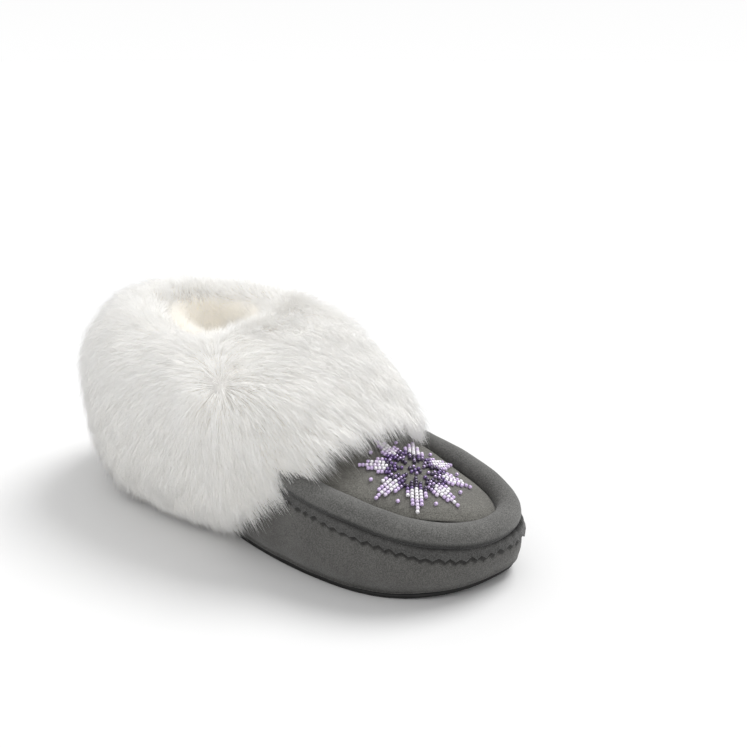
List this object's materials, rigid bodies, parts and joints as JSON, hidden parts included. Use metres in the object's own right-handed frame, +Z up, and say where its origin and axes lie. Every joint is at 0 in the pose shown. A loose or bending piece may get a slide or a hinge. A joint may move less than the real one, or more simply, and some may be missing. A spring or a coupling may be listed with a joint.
{
  "type": "house slipper",
  "caption": "Right-foot suede moccasin house slipper with a padded roll round a beaded plug, thin rubber sole and long white fur cuff round the ankle",
  "frame": {"origin": "on the ground under the middle of the slipper's bounding box", "axes": "+Z up; the toe points to -Y and the heel to +Y; +X is the inner (big toe) side of this right-foot slipper, -X the outer side"},
  "size_m": [0.1352, 0.2876, 0.116],
  "materials": {
    "suede_wall": "napped suede, matt",
    "suede_roll": "napped suede, matt",
    "suede_plug": "napped suede, matt",
    "rubber_sole": "satin moulded rubber",
    "foam": "open-cell foam, matt",
    "counter_board": "pressed fibre board, matt",
    "fleece": "combed fleece, matt",
    "fur": "long soft fur, slight sheen",
    "pelt": "tanned skin side, matt",
    "thread": "waxed thread",
    "bead_light": "pearl glass",
    "bead_dark": "lustred glass"
  },
  "bodies": {
    "root": {"outsole": "rubber_sole", "midsole_foam": "foam", "insole_foam": "foam", "insole_fleece": "fleece", "toe_wall": "suede_wall", "quarter_outer": "suede_wall", "quarter_inner": "suede_wall", "heel_tape": "suede_wall", "heel_counter": "counter_board", "vamp_lining": "fleece", "heel_lining": "fleece", "roll_cover": "suede_roll", "roll_core": "foam", "plug": "suede_plug", "plug_lining": "fleece", "pinked_lip": "suede_roll", "plug_thread": "thread", "cuff_pelt": "pelt", "tongue_pelt": "pelt", "fur_cuff": "fur", "collar_fleece": "fleece", "topline_binding": "suede_wall", "cuff_thread": "thread", "petal_1_light_beads": "bead_light", "petal_1_dark_beads": "bead_dark", "petal_2_light_beads": "bead_light", "petal_2_dark_beads": "bead_dark", "petal_3_light_beads": "bead_light", "petal_3_dark_beads": "bead_dark", "petal_4_light_beads": "bead_light", "petal_4_dark_beads": "bead_dark", "petal_5_light_beads": "bead_light", "petal_5_dark_beads": "bead_dark", "petal_6_light_beads": "bead_light", "petal_6_dark_beads": "bead_dark", "petal_7_light_beads": "bead_light", "petal_7_dark_beads": "bead_dark", "petal_8_light_beads": "bead_light", "petal_8_dark_beads": "bead_dark", "centre_beads": "bead_dark", "dot_beads": "bead_light"}
  },
  "joints": []
}
